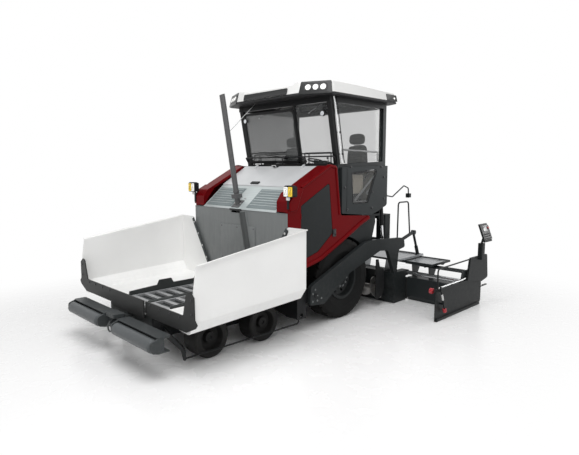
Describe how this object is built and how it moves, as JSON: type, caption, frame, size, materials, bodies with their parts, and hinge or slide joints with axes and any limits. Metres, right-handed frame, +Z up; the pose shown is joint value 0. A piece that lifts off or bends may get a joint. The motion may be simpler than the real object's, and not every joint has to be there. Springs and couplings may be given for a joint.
{
  "type": "wheeled asphalt paver",
  "caption": "Wheeled road paver with a folding receiving hopper, slat conveyors, spreading augers, an operator's cab and a floating screed with sliding extensions.",
  "frame": {"origin": "on the ground, below the middle of the overall length and width", "axes": "+Y towards the screed at the rear, +X to the machine's left, +Z up"},
  "size_m": [5.1934, 6.6, 3.95],
  "materials": {
    "hopper_white": "satin paint",
    "body_red": "gloss paint",
    "slate": "satin dark grey paint",
    "mid_grey": "satin paint",
    "hood_grey": "metallic paint",
    "hood_silver": "silver paint",
    "roof_white": "gloss moulded panel",
    "frame_dark": "satin black paint",
    "chain_steel": "worn steel",
    "rod_chrome": "hard chrome",
    "stack_steel": "heat-dulled steel",
    "engine_iron": "painted casting",
    "tyre": "rubber",
    "wheel_rubber": "solid rubber",
    "rim_grey": "satin paint",
    "flap_rubber": "reinforced rubber",
    "lamp": "clear lens over white",
    "tint_glass": "grey tint",
    "console_black": "textured",
    "seat_cloth": "woven",
    "auger_steel": "worn casting"
  },
  "bodies": {
    "tractor": {"frame_rails": "frame_dark", "tunnel_plates": "mid_grey", "engine": "engine_iron", "conveyors": "chain_steel", "bulkhead": "mid_grey", "side_frames": "body_red", "hood_front": "hood_grey", "exhaust_stack": "stack_steel", "headlamps": "frame_dark", "platform": "slate", "cab_frame": "slate", "roof": "roof_white", "cab_side_panels": "slate", "cab_glass": "tint_glass", "console": "console_black", "seat_cushions": "seat_cloth", "front_bogies": "frame_dark", "final_drives": "frame_dark", "centre_flap": "flap_rubber", "auger_carrier": "frame_dark", "rear_body": "slate"},
    "hood": {"engine_hood": "hood_silver"},
    "push_bar": {"push_beam": "frame_dark"},
    "screed": {"tow_arms": "slate", "screed_body": "slate", "screed_walkway": "slate"},
    "door_left": {"side_door_left": "slate"},
    "drive_wheel_left": {"rear_tyre_left": "tyre", "rear_rim_left": "rim_grey"},
    "wing_left": {"hopper_wing_left": "hopper_white", "wing_flap_left": "flap_rubber"},
    "hopper_barrel_left": {"ram_barrel_left": "frame_dark"},
    "hopper_rod_left": {"ram_rod_left": "rod_chrome"},
    "truck_roller_left": {"push_roller_left": "frame_dark"},
    "spreading_auger_left": {"auger_left": "auger_steel"},
    "screed_extension_left": {"extension_left": "slate", "end_gate_left": "slate"},
    "screed_barrel_left": {"lift_barrel_left": "frame_dark"},
    "screed_rod_left": {"lift_rod_left": "rod_chrome"},
    "front_steering_left": {"front_knuckle_left": "frame_dark"},
    "front_wheel_left": {"front_wheel_left": "wheel_rubber"},
    "middle_steering_left": {"middle_knuckle_left": "frame_dark"},
    "middle_wheel_left": {"middle_wheel_left": "wheel_rubber"},
    "door_right": {"side_door_right": "slate"},
    "drive_wheel_right": {"rear_tyre_right": "tyre", "rear_rim_right": "rim_grey"},
    "wing_right": {"hopper_wing_right": "hopper_white", "wing_flap_right": "flap_rubber"},
    "hopper_barrel_right": {"ram_barrel_right": "frame_dark"},
    "hopper_rod_right": {"ram_rod_right": "rod_chrome"},
    "truck_roller_right": {"push_roller_right": "frame_dark"},
    "spreading_auger_right": {"auger_right": "auger_steel"},
    "screed_extension_right": {"extension_right": "slate", "end_gate_right": "slate"},
    "screed_barrel_right": {"lift_barrel_right": "frame_dark"},
    "screed_rod_right": {"lift_rod_right": "rod_chrome"},
    "front_steering_right": {"front_knuckle_right": "frame_dark"},
    "front_wheel_right": {"front_wheel_right": "wheel_rubber"},
    "middle_steering_right": {"middle_knuckle_right": "frame_dark"},
    "middle_wheel_right": {"middle_wheel_right": "wheel_rubber"}
  },
  "joints": [
    {"name": "hood_lift", "type": "hinge", "parent": "tractor", "child": "hood", "pos_m": [0, 0.065, 2.635], "axis": [-1, 0, 0], "range_deg": [0, 70]},
    {"name": "push_bar_swing", "type": "hinge", "parent": "tractor", "child": "push_bar", "pos_m": [0, -2.95, 0.445], "axis": [0, 0, 1], "range_deg": [-6, 6]},
    {"name": "screed_lift", "type": "hinge", "parent": "tractor", "child": "screed", "pos_m": [0, -0.38, 0.56], "axis": [1, 0, 0], "range_deg": [0, 7]},
    {"name": "wing_fold_left", "type": "hinge", "parent": "tractor", "child": "wing_left", "pos_m": [0.625, -1.9, 0.64], "axis": [0, -1, 0], "range_deg": [0, 45]},
    {"name": "hopper_barrel_tilt_left", "type": "hinge", "parent": "tractor", "child": "hopper_barrel_left", "pos_m": [0.745, -1.779, 0.43], "axis": [0, -1, 0], "range_deg": [-1, 43.33]},
    {"name": "hopper_rod_slide_left", "type": "slide", "parent": "hopper_barrel_left", "child": "hopper_rod_left", "axis": [0.9533, 0, 0.302], "range_m": [-0.002, 0.1849]},
    {"name": "screed_barrel_tilt_left", "type": "hinge", "parent": "tractor", "child": "screed_barrel_left", "pos_m": [1.09, 1.6, 1.92], "axis": [1, 0, 0], "range_deg": [-9.42, 1]},
    {"name": "screed_rod_slide_left", "type": "slide", "parent": "screed_barrel_left", "child": "screed_rod_left", "axis": [0, 0.1163, -0.9932], "range_m": [-0.253, 0.002]},
    {"name": "door_swing_left", "type": "hinge", "parent": "tractor", "child": "door_left", "pos_m": [1.2, -0.65, 1.6], "axis": [0, 0, -1], "range_deg": [0, 100]},
    {"name": "drive_wheel_spin_left", "type": "hinge", "parent": "tractor", "child": "drive_wheel_left", "pos_m": [1, 0.45, 0.685], "axis": [1, 0, 0], "continuous": true},
    {"name": "truck_roller_spin_left", "type": "hinge", "parent": "push_bar", "child": "truck_roller_left", "pos_m": [0.8, -3.215, 0.44], "axis": [1, 0, 0], "continuous": true},
    {"name": "auger_spin_left", "type": "hinge", "parent": "tractor", "child": "spreading_auger_left", "pos_m": [0.6, 1.56, 0.33], "axis": [1, 0, 0], "continuous": true},
    {"name": "extension_slide_left", "type": "slide", "parent": "screed", "child": "screed_extension_left", "axis": [-1, 0, 0], "range_m": [0, 1.11]},
    {"name": "front_steer_left", "type": "hinge", "parent": "tractor", "child": "front_steering_left", "pos_m": [0.73, -2.255, 0.28], "axis": [0, 0, 1], "range_deg": [-18, 18]},
    {"name": "front_wheel_spin_left", "type": "hinge", "parent": "front_steering_left", "child": "front_wheel_left", "pos_m": [0.9, -2.255, 0.28], "axis": [1, 0, 0], "continuous": true},
    {"name": "middle_steer_left", "type": "hinge", "parent": "tractor", "child": "middle_steering_left", "pos_m": [0.73, -1.303, 0.28], "axis": [0, 0, 1], "range_deg": [-11.7, 11.7]},
    {"name": "middle_wheel_spin_left", "type": "hinge", "parent": "middle_steering_left", "child": "middle_wheel_left", "pos_m": [0.9, -1.303, 0.28], "axis": [1, 0, 0], "continuous": true},
    {"name": "wing_fold_right", "type": "hinge", "parent": "tractor", "child": "wing_right", "pos_m": [-0.625, -1.9, 0.64], "axis": [0, 1, 0], "range_deg": [0, 45]},
    {"name": "hopper_barrel_tilt_right", "type": "hinge", "parent": "tractor", "child": "hopper_barrel_right", "pos_m": [-0.745, -1.779, 0.43], "axis": [0, 1, 0], "range_deg": [-1, 43.33]},
    {"name": "hopper_rod_slide_right", "type": "slide", "parent": "hopper_barrel_right", "child": "hopper_rod_right", "axis": [-0.9533, 0, 0.302], "range_m": [-0.002, 0.1849]},
    {"name": "screed_barrel_tilt_right", "type": "hinge", "parent": "tractor", "child": "screed_barrel_right", "pos_m": [-1.09, 1.6, 1.92], "axis": [1, 0, 0], "range_deg": [-9.42, 1]},
    {"name": "screed_rod_slide_right", "type": "slide", "parent": "screed_barrel_right", "child": "screed_rod_right", "axis": [0, 0.1163, -0.9932], "range_m": [-0.253, 0.002]},
    {"name": "door_swing_right", "type": "hinge", "parent": "tractor", "child": "door_right", "pos_m": [-1.2, -0.65, 1.6], "axis": [0, 0, 1], "range_deg": [0, 100]},
    {"name": "drive_wheel_spin_right", "type": "hinge", "parent": "tractor", "child": "drive_wheel_right", "pos_m": [-1, 0.45, 0.685], "axis": [1, 0, 0], "continuous": true},
    {"name": "truck_roller_spin_right", "type": "hinge", "parent": "push_bar", "child": "truck_roller_right", "pos_m": [-0.8, -3.215, 0.44], "axis": [1, 0, 0], "continuous": true},
    {"name": "auger_spin_right", "type": "hinge", "parent": "tractor", "child": "spreading_auger_right", "pos_m": [-0.6, 1.56, 0.33], "axis": [1, 0, 0], "continuous": true},
    {"name": "extension_slide_right", "type": "slide", "parent": "screed", "child": "screed_extension_right", "axis": [1, 0, 0], "range_m": [0, 1.11]},
    {"name": "front_steer_right", "type": "hinge", "parent": "tractor", "child": "front_steering_right", "pos_m": [-0.73, -2.255, 0.28], "axis": [0, 0, 1], "range_deg": [-18, 18]},
    {"name": "front_wheel_spin_right", "type": "hinge", "parent": "front_steering_right", "child": "front_wheel_right", "pos_m": [-0.9, -2.255, 0.28], "axis": [1, 0, 0], "continuous": true},
    {"name": "middle_steer_right", "type": "hinge", "parent": "tractor", "child": "middle_steering_right", "pos_m": [-0.73, -1.303, 0.28], "axis": [0, 0, 1], "range_deg": [-11.7, 11.7]},
    {"name": "middle_wheel_spin_right", "type": "hinge", "parent": "middle_steering_right", "child": "middle_wheel_right", "pos_m": [-0.9, -1.303, 0.28], "axis": [1, 0, 0], "continuous": true}
  ],
  "couplings": [
    {"joint": "hopper_barrel_tilt_left", "follows": "wing_fold_left", "ratio": 0.94064},
    {"joint": "hopper_rod_slide_left", "follows": "wing_fold_left", "m_per_rad": 0.23286},
    {"joint": "screed_barrel_tilt_left", "follows": "screed_lift", "ratio": -1.2035},
    {"joint": "screed_rod_slide_left", "follows": "screed_lift", "m_per_rad": -2.0541},
    {"joint": "middle_steer_left", "follows": "front_steer_left", "ratio": 0.65},
    {"joint": "hopper_barrel_tilt_right", "follows": "wing_fold_right", "ratio": 0.94064},
    {"joint": "hopper_rod_slide_right", "follows": "wing_fold_right", "m_per_rad": 0.23286},
    {"joint": "screed_barrel_tilt_right", "follows": "screed_lift", "ratio": -1.2035},
    {"joint": "screed_rod_slide_right", "follows": "screed_lift", "m_per_rad": -2.0541},
    {"joint": "front_steer_right", "follows": "front_steer_left", "ratio": 1},
    {"joint": "middle_steer_right", "follows": "front_steer_left", "ratio": 0.65}
  ]
}
